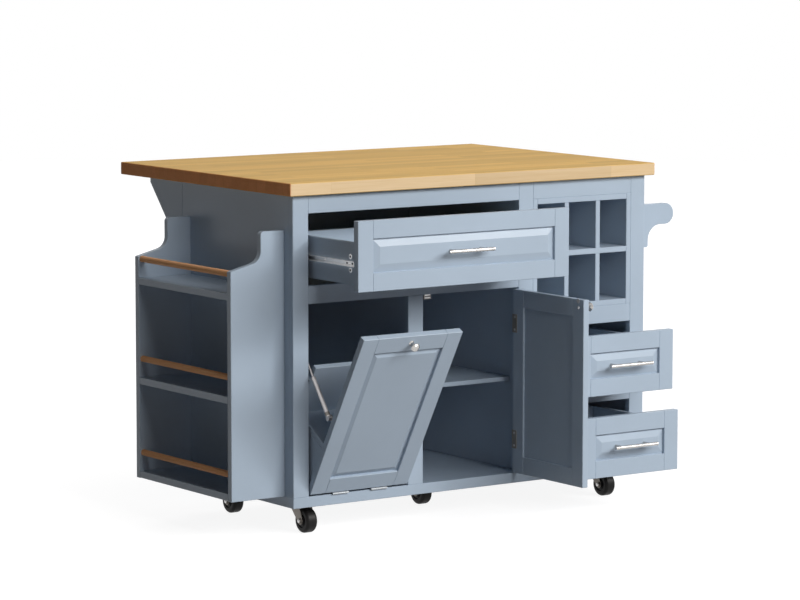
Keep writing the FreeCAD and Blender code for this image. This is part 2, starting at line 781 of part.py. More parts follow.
def fork(x, y):
    # two cheeks under a swivel head, with the axle behind the kingpin
    axle = point(x, y - fork_trail, wheel_diameter / 2)
    inner = wheel_width / 2 + fork_side_gap
    plate_bottom = z_base - caster_plate_thickness
    head_top = plate_bottom - caster_swivel_gap
    bridge_bottom = wheel_diameter + fork_top_gap
    bridge_top = bridge_bottom + fork_sheet
    half = fork_top_length / 2
    end_angle = math.radians(fork_end_angle)
    reach = inner + fork_sheet
    pieces = [block(x - reach, x + reach, y - half, y + half, bridge_bottom, bridge_top),
              rod(race_diameter, point(x, y, bridge_top), Z_AXIS, head_top - bridge_top)]
    for side in (-1, 1):
        x0 = min(x + side * inner, x + side * (inner + fork_sheet))
        low = point(x0, axle.y + fork_end_radius * math.cos(end_angle),
                    axle.z - fork_end_radius * math.sin(end_angle))
        front_low = point(x0, axle.y - fork_end_radius, axle.z)
        bottom = point(x0, axle.y, axle.z - fork_end_radius)
        edges = [line(point(x0, y + half, bridge_top), point(x0, y - half, bridge_top)),
                 line(point(x0, y - half, bridge_top), front_low),
                 arc(front_low, bottom, low),
                 line(low, point(x0, y + half, bridge_top))]
        pieces.append(plate(edges, X_AXIS * fork_sheet))
    body = fused(pieces)
    kingpin = rod(kingpin_diameter, point(x, y, head_top), Z_AXIS, z_base - head_top)
    shaft = rod(axle_diameter, point(x - reach, axle.y, axle.z), X_AXIS, 2 * reach)
    body = body.fuse(kingpin).removeSplitter().cut(shaft)
    heads = []
    for head_x in (x - reach - axle_head, x + reach):
        heads.append(rod(axle_diameter + 2 * axle_head, point(head_x, axle.y, axle.z), X_AXIS, axle_head))
    return [body, fused([shaft] + heads)]


def make_casters():
    plates = []
    half = caster_plate_size / 2
    for number, (x, y) in enumerate(caster_places(), 1):
        pad = block(x - half, x + half, y - half, y + half, z_base - caster_plate_thickness, z_base)
        bore_start = point(x, y, z_base - caster_plate_thickness)
        bore = rod(kingpin_diameter + 2 * kingpin_fit, bore_start, Z_AXIS, caster_plate_thickness)
        plates.append(pad.cut(bore))
        save("caster_%d_fork" % number, fork(x, y))
        save("caster_%d_wheel" % number, [wheel(x, y - fork_trail, wheel_diameter / 2)])
    save("caster_plates", plates)


make_carcass()
make_front_frame()
make_worktop()
make_shelf()
make_bottle_rack()
make_drawers()
make_hinges()
make_tilt_door()
make_strut()
make_cabinet_door()
make_spice_rack()
make_towel_bar()
make_casters()
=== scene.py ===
import json
import math

import bmesh
import bpy
from mathutils import Matrix, Vector


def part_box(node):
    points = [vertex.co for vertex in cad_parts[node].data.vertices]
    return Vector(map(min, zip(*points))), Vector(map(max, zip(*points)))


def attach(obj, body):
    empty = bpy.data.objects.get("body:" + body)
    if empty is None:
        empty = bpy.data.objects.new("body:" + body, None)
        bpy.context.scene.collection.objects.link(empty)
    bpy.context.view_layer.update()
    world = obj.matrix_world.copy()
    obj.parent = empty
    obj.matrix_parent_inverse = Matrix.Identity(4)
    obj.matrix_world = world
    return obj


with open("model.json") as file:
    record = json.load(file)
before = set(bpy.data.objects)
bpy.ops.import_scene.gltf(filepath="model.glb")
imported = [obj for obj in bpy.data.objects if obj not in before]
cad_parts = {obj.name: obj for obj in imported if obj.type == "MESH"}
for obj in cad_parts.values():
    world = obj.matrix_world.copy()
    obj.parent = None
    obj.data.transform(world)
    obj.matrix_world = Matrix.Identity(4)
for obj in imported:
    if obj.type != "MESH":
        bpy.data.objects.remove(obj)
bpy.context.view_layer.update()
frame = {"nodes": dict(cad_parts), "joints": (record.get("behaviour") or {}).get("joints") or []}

nodes = frame["nodes"]
scene = bpy.context.scene
scene.view_settings.view_transform = "Standard"
print("frame loaded with", len(nodes), "nodes")

cameraView = {
    "lens": 159.686,  # mm
    "sensor": 36.0,
    "azimuth": -34.8778,
    "elevation": 6.7839,
    "roll": 0.0317,
    "place": (-5.54498, -7.88763, 1.70639),
    "farClip": 100.0,
}


def makeCamera(view):
    azimuth, elevation = math.radians(view["azimuth"]), math.radians(view["elevation"])
    back = Vector((math.sin(azimuth) * math.cos(elevation),
                   -math.cos(azimuth) * math.cos(elevation), math.sin(elevation)))
    roll = Matrix.Rotation(math.radians(view["roll"]), 3, "Z")
    turn = back.to_track_quat("Z", "Y").to_matrix() @ roll
    data = bpy.data.cameras.new("cartCamera")
    data.lens = view["lens"]
    data.sensor_width = view["sensor"]
    data.sensor_fit = "HORIZONTAL"
    data.clip_end = view["farClip"]
    camera = bpy.data.objects.new("cartCamera", data)
    camera.matrix_world = Matrix.Translation(view["place"]) @ turn.to_4x4()
    scene.collection.objects.link(camera)
    scene.camera = camera


makeCamera(cameraView)
print("camera set")


class Graph:  # short hand for wiring nodes in one tree
    def __init__(self, tree):
        self.tree = tree

    def add(self, kind, settings=None, **values):
        node = self.tree.nodes.new(kind)
        for key, value in (settings or {}).items():
            setattr(node, key, value)
        for key, value in values.items():
            self.feed(node.inputs[key.replace("_", " ")], value)
        return node

    def feed(self, socket, value):
        if isinstance(value, bpy.types.NodeSocket):
            self.tree.links.new(value, socket)
        elif hasattr(socket.default_value, "__len__") and not isinstance(value, (int, float)):
            for index, part in enumerate(value):
                socket.default_value[index] = part
        else:
            socket.default_value = value

    def math(self, operation, first, second=0.0):
        node = self.add("ShaderNodeMath", {"operation": operation})
        self.feed(node.inputs[0], first)
        self.feed(node.inputs[1], second)
        return node.outputs[0]

    def times(self, first, second):
        return self.math("MULTIPLY", first, second)

    def plus(self, first, second):
        return self.math("ADD", first, second)

    def less(self, first, second):
        return self.math("SUBTRACT", first, second)

    def mix(self, factor, first, second, blend="MIX"):
        node = self.add("ShaderNodeMix", {"data_type": "RGBA", "blend_type": blend})
        self.feed(node.inputs[0], factor)
        self.feed(node.inputs[6], first)  # 6, 7 and output 2 are the colour sockets
        self.feed(node.inputs[7], second)
        return node.outputs[2]

    def shade(self, color, level):  # colour made lighter or darker by a value
        grey = self.add("ShaderNodeCombineColor", None, Red=level, Green=level, Blue=level)
        return self.mix(1.0, color, grey.outputs[0], "MULTIPLY")

    def span(self, value, fromRange, toRange):
        node = self.add("ShaderNodeMapRange")
        for index, part in enumerate((value, *fromRange, *toRange)):
            self.feed(node.inputs[index], part)
        return node.outputs[0]

    def noise(self, vector, scale, detail, rough, distort=0.0):
        node = self.add("ShaderNodeTexNoise", None, Vector=vector, Scale=scale, Detail=detail,
                        Roughness=rough, Distortion=distort)
        return node.outputs["Fac"]

    def mapping(self, vector, scale=(1.0, 1.0, 1.0), turn=(0.0, 0.0, 0.0)):
        node = self.add("ShaderNodeMapping", None, Vector=vector, Scale=scale, Rotation=turn)
        return node.outputs[0]


studio = {
    "aim": (0.0, 0.0, 0.45),
    "ambient": 0.01,
    "ambientTone": (0.94, 0.97, 1.0, 1.0),
    "backdrop": (1.0, 1.0, 1.0, 1.0),
    "floorRadius": 12.0,
    "floorSides": 64,
    "floorBounce": (0.24, 0.24, 0.245, 1.0),
    "floorNear": 0.9,
    "fade": (0.8, 2.0),
}


def shownRays(graph):  # 1 for camera, glossy and transmission rays
    path = graph.add("ShaderNodeLightPath").outputs
    seen = graph.math("MAXIMUM", path["Is Camera Ray"], path["Is Glossy Ray"])
    return graph.math("MAXIMUM", seen, path["Is Transmission Ray"])


def makeWorld(look):
    world = bpy.data.worlds.new("studioWorld")
    scene.world = world
    world.use_nodes = True
    graph = Graph(world.node_tree)
    graph.tree.nodes.clear()
    dim = graph.add("ShaderNodeBackground", None, Color=look["ambientTone"], Strength=look["ambient"])
    white = graph.add("ShaderNodeBackground", None, Color=look["backdrop"], Strength=1.0)
    mix = graph.add("ShaderNodeMixShader", None, Fac=shownRays(graph))
    graph.feed(mix.inputs[1], dim.outputs[0])
    graph.feed(mix.inputs[2], white.outputs[0])
    graph.add("ShaderNodeOutputWorld", None, Surface=mix.outputs[0])


def makeFloor(look):
    bm = bmesh.new()
    bmesh.ops.create_circle(bm, cap_ends=True, segments=look["floorSides"], radius=look["floorRadius"])
    mesh = bpy.data.meshes.new("paleFloor")
    bm.to_mesh(mesh)
    bm.free()
    floor = bpy.data.objects.new("paleFloor", mesh)
    scene.collection.objects.link(floor)
    material = bpy.data.materials.new("paleFloor")
    material.use_nodes = True
    graph = Graph(material.node_tree)
    graph.tree.nodes.clear()
    reach = graph.add("ShaderNodeVectorMath", {"operation": "LENGTH"})
    graph.feed(reach.inputs[0], graph.add("ShaderNodeTexCoord").outputs["Object"])
    # the glow is full white far from the cart
    near = graph.span(reach.outputs["Value"], look["fade"], (look["floorNear"], 1.0))
    glow = graph.add("ShaderNodeEmission", None, Strength=graph.times(near, shownRays(graph)))
    diffuse = graph.add("ShaderNodeBsdfDiffuse", None, Color=look["floorBounce"])
    both = graph.add("ShaderNodeAddShader")
    graph.feed(both.inputs[0], glow.outputs[0])
    graph.feed(both.inputs[1], diffuse.outputs[0])
    graph.add("ShaderNodeOutputMaterial", None, Surface=both.outputs[0])
    mesh.materials.append(material)


def makeLamp(name, place, size, power, tone=(1.0, 0.982, 0.958), reflected=True):
    data = bpy.data.lights.new(name, "AREA")
    data.shape = "RECTANGLE"
    data.size, data.size_y = size
    data.energy = power
    data.color = tone
    lamp = bpy.data.objects.new(name, data)
    turn = (Vector(place) - Vector(studio["aim"])).to_track_quat("Z", "Y").to_matrix().to_4x4()
    lamp.matrix_world = Matrix.Translation(place) @ turn
    lamp.visible_glossy = reflected
    scene.collection.objects.link(lamp)


makeWorld(studio)
makeFloor(studio)
makeLamp("keyLamp", place=(1.68, -7.91, 4.40), size=(7.6, 3.8), power=720.0)
# a smaller softbox that shows in the fronts' upper bevels
makeLamp("sideLamp", place=(4.98, -6.37, 4.40), size=(1.8, 1.5), power=205.0)
makeLamp("backLamp", place=(3.29, 7.06, 4.95), size=(5.0, 3.0), power=300.0, reflected=False)
makeLamp("topLamp", place=(0.0, -0.6, 9.4), size=(3.6, 3.6), power=110.0)
# a low warm light that reaches into the openings
makeLamp("fillLamp", place=(-4.21, -7.92, 1.10), size=(3.0, 1.5), power=24.0,
         tone=(1.0, 0.80, 0.66), reflected=False)
print("studio lit")


def startGroup(name, inputs):
    group = bpy.data.node_groups.new(name, "ShaderNodeTree")
    for title, kind, value in inputs:
        socket = group.interface.new_socket(name=title, in_out="INPUT", socket_type="NodeSocket" + kind)
        if value is not None:
            socket.default_value = value
    for title, kind in (("Color", "Color"), ("Roughness", "Float"), ("Height", "Float")):
        group.interface.new_socket(name=title, in_out="OUTPUT", socket_type="NodeSocket" + kind)
    start = group.nodes.new("NodeGroupInput")
    end = group.nodes.new("NodeGroupOutput")
    return group, Graph(group), start.outputs, end.inputs


paintLook = {
    "cloud": {"scale": 5.0, "detail": 4.0, "rough": 0.55},
    "smear": {"scale": 38.0, "detail": 3.0, "rough": 0.6},
    "peel": {"scale": 520.0, "detail": 1.0, "rough": 0.4},
    "wave": {"scale": 90.0, "detail": 1.0, "rough": 0.4},
    "noiseRange": (0.3, 0.7),
    "cloudSpread": 0.03,
    "smearGloss": (-0.02, 0.03),
    "peelShare": 0.35,
    "waveShare": 0.65,
    "bump": (0.06, 0.0004),  # strength, and depth in metres
}


def makePaintGroup(look):  # sprayed paint: cloudy tone and orange peel
    group, graph, given, made = startGroup("sprayedPaint", [
        ("Vector", "Vector", None), ("Color", "Color", (0.5, 0.5, 0.5, 1.0)), ("Gloss", "Float", 0.4)])
    place, spread = given["Vector"], look["cloudSpread"]
    tone = graph.span(graph.noise(place, **look["cloud"]), look["noiseRange"], (1.0 - spread, 1.0 + spread))
    graph.feed(made["Color"], graph.shade(given["Color"], tone))
    smear = graph.span(graph.noise(place, **look["smear"]), look["noiseRange"], look["smearGloss"])
    graph.feed(made["Roughness"], graph.plus(given["Gloss"], smear))
    peel = graph.times(graph.noise(place, **look["peel"]), look["peelShare"])
    wave = graph.times(graph.noise(place, **look["wave"]), look["waveShare"])
    graph.feed(made["Height"], graph.plus(peel, wave))
    return group


grainLook = {
    "stretch": (0.035, 1.0, 1.0),
    "poreStretch": (0.02, 1.0, 1.0),
    "broadScale": 0.4,  # scales are shares of the streak
    "fineScale": 3.5,
    "poreScale": 11.0,
    "broad": {"detail": 3.0, "rough": 0.55, "distort": 0.6},
    "fine": {"detail": 4.0, "rough": 0.65, "distort": 0.2},
    "pore": {"detail": 2.0, "rough": 0.6},
    "broadRange": (0.32, 0.68),
    "fineRange": (0.34, 0.66),
    "poreRange": (0.58, 0.72),
    "broadShare": 0.55,
    "fineShare": 0.45,
    "poreShade": 0.35,
    "poreRough": 0.18,
    "fineHeight": 0.4,
    "poreHeight": 0.6,
}


def makeGrainGroup(look):  # straight wood grain along the vector's X
    group, graph, given, made = startGroup("woodGrain", [
        ("Vector", "Vector", None), ("Pale", "Color", (0.6, 0.4, 0.2, 1.0)),
        ("Dark", "Color", (0.3, 0.15, 0.05, 1.0)), ("Streak", "Float", 60.0), ("Gloss", "Float", 0.4)])
    along = graph.mapping(given["Vector"], look["stretch"])
    longer = graph.mapping(given["Vector"], look["poreStretch"])
    broad = graph.noise(along, graph.times(given["Streak"], look["broadScale"]), **look["broad"])
    fine = graph.noise(along, graph.times(given["Streak"], look["fineScale"]), **look["fine"])
    pores = graph.noise(longer, graph.times(given["Streak"], look["poreScale"]), **look["pore"])
    full = (0.0, 1.0)
    streak = graph.plus(graph.times(graph.span(broad, look["broadRange"], full), look["broadShare"]),
                        graph.times(graph.span(fine, look["fineRange"], full), look["fineShare"]))
    pit = graph.span(pores, look["poreRange"], full)
    wood = graph.mix(streak, given["Dark"], given["Pale"])
    graph.feed(made["Color"], graph.mix(graph.times(pit, look["poreShade"]), wood, given["Dark"]))
    graph.feed(made["Roughness"], graph.plus(given["Gloss"], graph.times(pit, look["poreRough"])))
    graph.feed(made["Height"], graph.less(graph.times(fine, look["fineHeight"]),
                                          graph.times(pit, look["poreHeight"])))
    return group


brushLook = {
    "stretch": (1.0, 0.03, 0.03),
    "lines": {"scale": 300.0, "detail": 3.0, "rough": 0.6},
    "smudge": {"scale": 45.0, "detail": 3.0, "rough": 0.6},
    "lineShare": 0.6,
    "smudgeShare": 0.4,
    "noiseRange": (0.3, 0.7),
    "tone": (0.84, 1.08),
    "smudgeGloss": (-0.06, 0.1),
    "bump": (0.1, 0.0002),
}


def makeBrushGroup(look):  # fine brush lines across the vector's X, with smudges
    group, graph, given, made = startGroup("brushedMetal", [
        ("Vector", "Vector", None), ("Color", "Color", (0.6, 0.6, 0.6, 1.0)), ("Gloss", "Float", 0.3)])
    lines = graph.noise(graph.mapping(given["Vector"], look["stretch"]), **look["lines"])
    smudge = graph.noise(given["Vector"], **look["smudge"])
    worn = graph.plus(graph.times(lines, look["lineShare"]), graph.times(smudge, look["smudgeShare"]))
    tone = graph.span(worn, look["noiseRange"], look["tone"])
    graph.feed(made["Color"], graph.shade(given["Color"], tone))
    dull = graph.span(smudge, look["noiseRange"], look["smudgeGloss"])
    graph.feed(made["Roughness"], graph.plus(given["Gloss"], dull))
    graph.feed(made["Height"], lines)
    return group


paintGroup = makePaintGroup(paintLook)
grainGroup = makeGrainGroup(grainLook)
brushGroup = makeBrushGroup(brushLook)


def startMaterial(name):
    material = bpy.data.materials.new(name)
    material.use_nodes = True
    graph = Graph(material.node_tree)
    shader = material.node_tree.nodes["Principled BSDF"]
    place = graph.add("ShaderNodeTexCoord").outputs["Object"]
    return material, graph, shader, place


def useGroup(graph, shader, group, bump, values):
    node = graph.tree.nodes.new("ShaderNodeGroup")
    node.node_tree = group
    for title, value in values.items():
        graph.feed(node.inputs[title], value)
    graph.feed(shader.inputs["Base Color"], node.outputs["Color"])
    graph.feed(shader.inputs["Roughness"], node.outputs["Roughness"])
    strength, depth = bump
    dents = graph.add("ShaderNodeBump", None, Strength=strength, Distance=depth,
                      Height=node.outputs["Height"])
    graph.feed(shader.inputs["Normal"], dents.outputs[0])
    return node


def makePaint(name, color, gloss, shine):
    material, graph, shader, place = startMaterial(name)
    values = {"Vector": place, "Color": (*color, 1.0), "Gloss": gloss}
    useGroup(graph, shader, paintGroup, paintLook["bump"], values)
    shader.inputs["Specular IOR Level"].default_value = shine
    return material


def makeMetal(name, color, gloss):
    material, graph, shader, place = startMaterial(name)
    values = {"Vector": place, "Color": (*color, 1.0), "Gloss": gloss}
    useGroup(graph, shader, brushGroup, brushLook["bump"], values)
    shader.inputs["Metallic"].default_value = 1.0
    return material


worktopLook = {
    "staveLength": 0.46,
    "staveWidth": 0.041,
    "rowOffset": 0.37,
    "seamWidth": 0.00025,
    "seamSoft": 0.6,
    "seamShare": 0.55,
    "grainShift": (7.3, 3.1, 1.7),  # each stave's grain comes from another place
    "topPale": (0.70, 0.45, 0.143, 1.0),
    "topDark": (0.60, 0.365, 0.102, 1.0),
    # painted light: the edge tones are a paler, greyer copy of the wood, as the brightly lit front edge
    # looks; the top keeps its own tone
    "litEdgePale": (0.735, 0.565, 0.36, 1.0),
    "litEdgeDark": (0.64, 0.465, 0.265, 1.0),
    "endToneAndLight": (1.32, 0.76, 0.52, 1.0),  # end grain's deeper tone, and painted light: red raised past the wood's own for warm light on the shaded end
    "seam": (0.45, 0.26, 0.085, 1.0),
    "toneSpread": 0.10,
    "endSpread": 0.03,
    "streak": 48.0,
    "gloss": 0.55,
    "shine": 0.08,
    "bump": (0.15, 0.0006),
}


def makeWorktopWood(look):  # glued staves along X, each with its own tone and grain
    material, graph, shader, place = startMaterial("worktopWood")
    facing = graph.add("ShaderNodeTexCoord").outputs["Normal"]
    normal = graph.add("ShaderNodeSeparateXYZ", None, Vector=facing).outputs
    topShare = graph.math("ABSOLUTE", normal["Z"])
    endShare = graph.math("ABSOLUTE", normal["X"])
    staves = {"offset": look["rowOffset"], "offset_frequency": 2, "squash": 1.0}
    brick = graph.add("ShaderNodeTexBrick", staves, Vector=place, Scale=1.0, Bias=0.0,
                      Color1=(0.0, 0.0, 0.0, 1.0), Color2=(1.0, 1.0, 1.0, 1.0), Mortar=(0.5, 0.5, 0.5, 1.0),
                      Mortar_Size=look["seamWidth"], Mortar_Smooth=look["seamSoft"],
                      Brick_Width=look["staveLength"], Row_Height=look["staveWidth"])
    tone = graph.add("ShaderNodeSeparateColor", None, Color=brick.outputs["Color"]).outputs[0]
    alongX, alongY, alongZ = (graph.times(tone, share) for share in look["grainShift"])
    shift = graph.add("ShaderNodeCombineXYZ", None, X=alongX, Y=alongY, Z=alongZ)
    moved = graph.add("ShaderNodeVectorMath", {"operation": "ADD"})
    graph.feed(moved.inputs[0], place)
    graph.feed(moved.inputs[1], shift.outputs[0])
    values = {"Vector": moved.outputs[0], "Streak": look["streak"], "Gloss": look["gloss"],
              # painted light: faces that are not the top take the paler lit-edge copy of the wood
              "Pale": graph.mix(topShare, look["litEdgePale"], look["topPale"]),
              "Dark": graph.mix(topShare, look["litEdgeDark"], look["topDark"])}
    node = useGroup(graph, shader, grainGroup, look["bump"], values)
    spread = graph.span(endShare, (0.0, 1.0), (look["toneSpread"], look["endSpread"]))
    level = graph.span(tone, (0.0, 1.0), (graph.less(1.0, spread), graph.plus(1.0, spread)))
    toned = graph.shade(node.outputs["Color"], level)
    # end faces: end grain's deeper tone with painted warm light, red raised past the wood's own
    ended = graph.mix(endShare, toned, graph.mix(1.0, toned, look["endToneAndLight"], "MULTIPLY"))
    seam = graph.times(brick.outputs["Fac"], look["seamShare"])
    graph.feed(shader.inputs["Base Color"], graph.mix(seam, ended, look["seam"]))
    shader.inputs["Specular IOR Level"].default_value = look["shine"]
    return material


quarter = math.pi / 2
rodLook = {
    "turn": (0.0, 0.0, -quarter),  # grain along Y
    # painted light: both rod tones are lighter than the wood itself, standing in for light on the shaded rack
    # rods; the towel rod shares them
    "pale": (0.95, 0.52, 0.26, 1.0),
    "dark": (0.78, 0.37, 0.16, 1.0),
    "streak": 150.0,
    "gloss": 0.45,
    "shine": 0.06,
    "bump": (0.15, 0.0005),
}


def makeRodWood(look):
    material, graph, shader, place = startMaterial("rodWood")
    values = {"Vector": graph.mapping(place, turn=look["turn"]), "Pale": look["pale"], "Dark": look["dark"],
              "Streak": look["streak"], "Gloss": look["gloss"]}
    useGroup(graph, shader, grainGroup, look["bump"], values)
    shader.inputs["Specular IOR Level"].default_value = look["shine"]
    return material


bluePaint = makePaint("bluePaint", color=(0.372, 0.453, 0.55), gloss=0.3, shine=0.25)
worktopWood = makeWorktopWood(worktopLook)
rodWood = makeRodWood(rodLook)
satinNickel = makeMetal("satinNickel", color=(0.48, 0.465, 0.45), gloss=0.19)
zincSteel = makeMetal("zincSteel", color=(0.69, 0.68, 0.675), gloss=0.36)
strutSteel = makeMetal("strutSteel", color=(0.50, 0.475, 0.47), gloss=0.34)
hingeSteel = makeMetal("hingeSteel", color=(0.36, 0.38, 0.40), gloss=0.55)
warmZinc = makeMetal("warmZinc", color=(0.34, 0.31, 0.27), gloss=0.45)
# painted shade: a steel darker than bare plated steel, so the caster forks look as shaded as under the cart;
# the boot, plates and plate bolts share it
shadeDarkenedSteel = makeMetal("shadeDarkenedSteel", color=(0.185, 0.17, 0.155), gloss=0.44)
wheelBlack = makePaint("wheelBlack", color=(0.010, 0.0095, 0.0095), gloss=0.42, shine=0.16)
catchPlastic = makePaint("catchPlastic", color=(0.50, 0.48, 0.45), gloss=0.42, shine=0.3)
# painted shade: near-black paint for the shaded insides of holes
holeShade = makePaint("holeShade", color=(0.012, 0.012, 0.013), gloss=0.6, shine=0.1)

finishes = {
    worktopWood: ["worktop"],
    rodWood: ["spice_rack_rods", "towel_rod"],
    satinNickel: [name for name in nodes if name.endswith(("_handle", "_knob"))] + ["shelf_pins"],
    zincSteel: [name for name in nodes if name.endswith(("_slide_rails", "_channels"))],
    hingeSteel: ["tilt_hinge_leaves", "hinge_frame_leaves"],
    strutSteel: [name for name in nodes if name.startswith("strut_")],
    warmZinc: ["door_hinge_leaves"],
    shadeDarkenedSteel: [name for name in nodes if name.endswith(("_fork", "_plates"))],
    wheelBlack: [name for name in nodes if name.endswith("_wheel")],
    catchPlastic: ["door_catch"],
}
taken = {name: material for material, names in finishes.items() for name in names}
for name, item in nodes.items():
    item.data.materials.clear()
    item.data.materials.append(taken.get(name, bluePaint))
print("finishes on", len(nodes), "nodes")

joints = {joint["name"]: joint for joint in frame["joints"]}
places = {name: Vector(joint["pos_m"]) for name, joint in joints.items() if "pos_m" in joint}
left, right, inward, down = (-1.0, 0.0, 0.0), (1.0, 0.0, 0.0), (0.0, 1.0, 0.0), (0.0, 0.0, -1.0)
mergeDistance = 0.000002
smallRound = 20  # sides of a small turned piece


def aimed(place, axis):  # local Z turned along the axis, at the place
    return Matrix.Translation(place) @ Vector(axis).to_track_quat("Z", "Y").to_matrix().to_4x4()


def middleOf(name):
    low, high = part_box(name)
    return (low + high) / 2.0


def vertsOf(made):
    return [item for item in made["geom"] if isinstance(item, bmesh.types.BMVert)]


def joinPart(bm, part, matrix):
    bmesh.ops.transform(part, matrix=matrix, verts=part.verts)
    mesh = bpy.data.meshes.new("part")
    part.to_mesh(mesh)
    part.free()
    bm.from_mesh(mesh)
    bpy.data.meshes.remove(mesh)


def finishPiece(bm, name, material, body):
    bmesh.ops.remove_doubles(bm, verts=bm.verts, dist=mergeDistance)
    bmesh.ops.recalc_face_normals(bm, faces=bm.faces)
    mesh = bpy.data.meshes.new(name)
    bm.to_mesh(mesh)
    bm.free()
    mesh.materials.append(material)
    piece = bpy.data.objects.new(name, mesh)
    scene.collection.objects.link(piece)
    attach(piece, body)


crossLook = {
    "steps": 7,
    "armHalf": 0.1,  # shares of the head's radius
    "armReach": 0.6,
}


def screwHead(radius, crown, rim, sunk):  # round domed head with a cross sunk into it
    part = bmesh.new()
    bmesh.ops.create_grid(part, x_segments=crossLook["steps"], y_segments=crossLook["steps"], size=1.0)
    arms = []
    for face in part.faces:
        near, far = sorted(abs(value) for value in face.calc_center_median().xy)
        if near < crossLook["armHalf"] and far < crossLook["armReach"]:
            arms.append(face)
    for vert in part.verts:  # the square grid is drawn in to a disc
        x, y = vert.co.x, vert.co.y
        vert.co.x = radius * x * math.sqrt(1.0 - y * y / 2.0)
        vert.co.y = radius * y * math.sqrt(1.0 - x * x / 2.0)
        vert.co.z = rim + crown * (1.0 - (vert.co.x ** 2 + vert.co.y ** 2) / radius ** 2)
    border = [edge for edge in part.edges if edge.is_boundary]
    for vert in vertsOf(bmesh.ops.extrude_edge_only(part, edges=border)):
        vert.co.z = 0.0
    cross = vertsOf(bmesh.ops.extrude_face_region(part, geom=arms))
    bmesh.ops.translate(part, vec=(0.0, 0.0, -sunk), verts=cross)
    return part


def turned(profile, steps=32):  # radius and height pairs spun round the local Z
    part = bmesh.new()
    verts = [part.verts.new((radius, 0.0, height)) for radius, height in profile]
    edges = [part.edges.new(pair) for pair in zip(verts, verts[1:])]
    bmesh.ops.spin(part, geom=verts + edges, cent=(0.0, 0.0, 0.0), axis=(0.0, 0.0, 1.0),
                   angle=2.0 * math.pi, steps=steps, use_merge=True)
    bmesh.ops.remove_doubles(part, verts=part.verts, dist=mergeDistance)
    return part


def raised(part, height, bevel):  # a flat face pulled up to a block with an eased top
    top = vertsOf(bmesh.ops.extrude_face_region(part, geom=list(part.faces)))
    bmesh.ops.translate(part, vec=(0.0, 0.0, height), verts=top)
    rim = [edge for edge in part.edges if all(vert in top for vert in edge.verts)]
    bmesh.ops.bevel(part, geom=rim, offset=bevel, offset_type="OFFSET", segments=2, profile=0.5,
                    affect="EDGES", material=-1)
    return part


def hexHead(radius, height, bevel):
    part = bmesh.new()
    bmesh.ops.create_circle(part, cap_ends=True, segments=6, radius=radius)
    return raised(part, height, bevel)


def plate(size, height, bevel):
    part = bmesh.new()
    bmesh.ops.create_grid(part, x_segments=1, y_segments=1, size=0.5)
    bmesh.ops.scale(part, vec=(size[0], size[1], 1.0), verts=part.verts)
    return raised(part, height, bevel)


drawerFittings = {
    "camLock": {"radius": 0.0066, "crown": 0.0003, "rim": 0.0006, "sunk": 0.0006},
    "railScrew": {"radius": 0.0034, "crown": 0.0009, "rim": 0.0005, "sunk": 0.0006},
    "handleScrew": {"radius": 0.0040, "crown": 0.0012, "rim": 0.0006, "sunk": 0.0008},
    "camBehind": 0.029,  # behind the front end of the rail
    "camRise": 0.0175,  # above and below the rail
    "screwsBehind": (0.0305, 0.145, 0.300),
    "holesBehind": (0.0185, 0.0425, 0.230),
    "holeRadius": 0.0025,
    "socketRadius": 0.0028,
    "lipHeight": 0.0005,
    "lipGrow": 1.15,
    "mouthHeight": 0.0003,
    "railWeb": 0.0015,
    "postSpacing": 0.048,
}


def socket(look, radius, start):  # painted shade: a dark disc at the mouth of a hole stands for its shaded inside, with a low rim, standing up from the start height
    lip, mouth, edge = start + look["lipHeight"], start + look["mouthHeight"], radius * look["lipGrow"]
    return turned([(0.0, mouth), (radius, mouth), (radius, lip), (edge, lip), (edge, start)], smallRound)


def makeDrawerFittings(look, body):
    boxLow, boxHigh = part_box(body + "_box")
    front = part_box(body + "_slide_rails")[0].y
    middle = middleOf(body + "_slide_rails").z
    screws, holeShades = bmesh.new(), bmesh.new()
    for wall, axis in ((boxLow.x, left), (boxHigh.x, right)):
        web = wall + axis[0] * look["railWeb"]
        for rise in (-look["camRise"], look["camRise"]):
            matrix = aimed((wall, front + look["camBehind"], middle + rise), axis)
            joinPart(screws, screwHead(**look["camLock"]), matrix)
            joinPart(holeShades, socket(look, look["socketRadius"], look["camLock"]["rim"]), matrix)
        for behind in look["screwsBehind"]:
            joinPart(screws, screwHead(**look["railScrew"]), aimed((web, front + behind, middle), axis))
        for behind in look["holesBehind"]:
            joinPart(holeShades, socket(look, look["holeRadius"], 0.0), aimed((web, front + behind, middle), axis))
    centre = middleOf(body + "_handle")
    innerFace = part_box(body + "_front")[1].y
    for side in (-1.0, 1.0):
        place = (centre.x + side * look["postSpacing"], innerFace, centre.z)
        joinPart(screws, screwHead(**look["handleScrew"]), aimed(place, inward))
    finishPiece(screws, body + "_screws", zincSteel, body)
    finishPiece(holeShades, body + "_rail_hole_shades", holeShade, body)


for drawer in ("wide_drawer", "upper_drawer", "lower_drawer"):
    makeDrawerFittings(drawerFittings, drawer)
print("drawer fittings made")

doorFittings = {
    "knobScrew": {"radius": 0.0042, "crown": 0.0012, "rim": 0.0006, "sunk": 0.0008},
    "hingeScrew": {"radius": 0.0033, "crown": 0.0006, "rim": 0.0004, "sunk": 0.0005},
    "hingeHalf": 0.025,
    "screwSpread": 0.017,
    "tiltAngle": math.radians(30.0),
    "tiltDepth": 0.0213,  # pivot to the tilting door's inner face
    "tiltKnobRise": 0.4795,
    "tiltLeafRise": 0.0110,
    "leaf": 0.0012,
    "leafMiddle": 0.0095,
    "strikeRadius": 0.0070,
    "strikeDepth": 0.0002,
    "magnetSize": (0.018, 0.0028),
    "magnetDepth": 0.0002,
    "magnetRise": 0.0036,
}


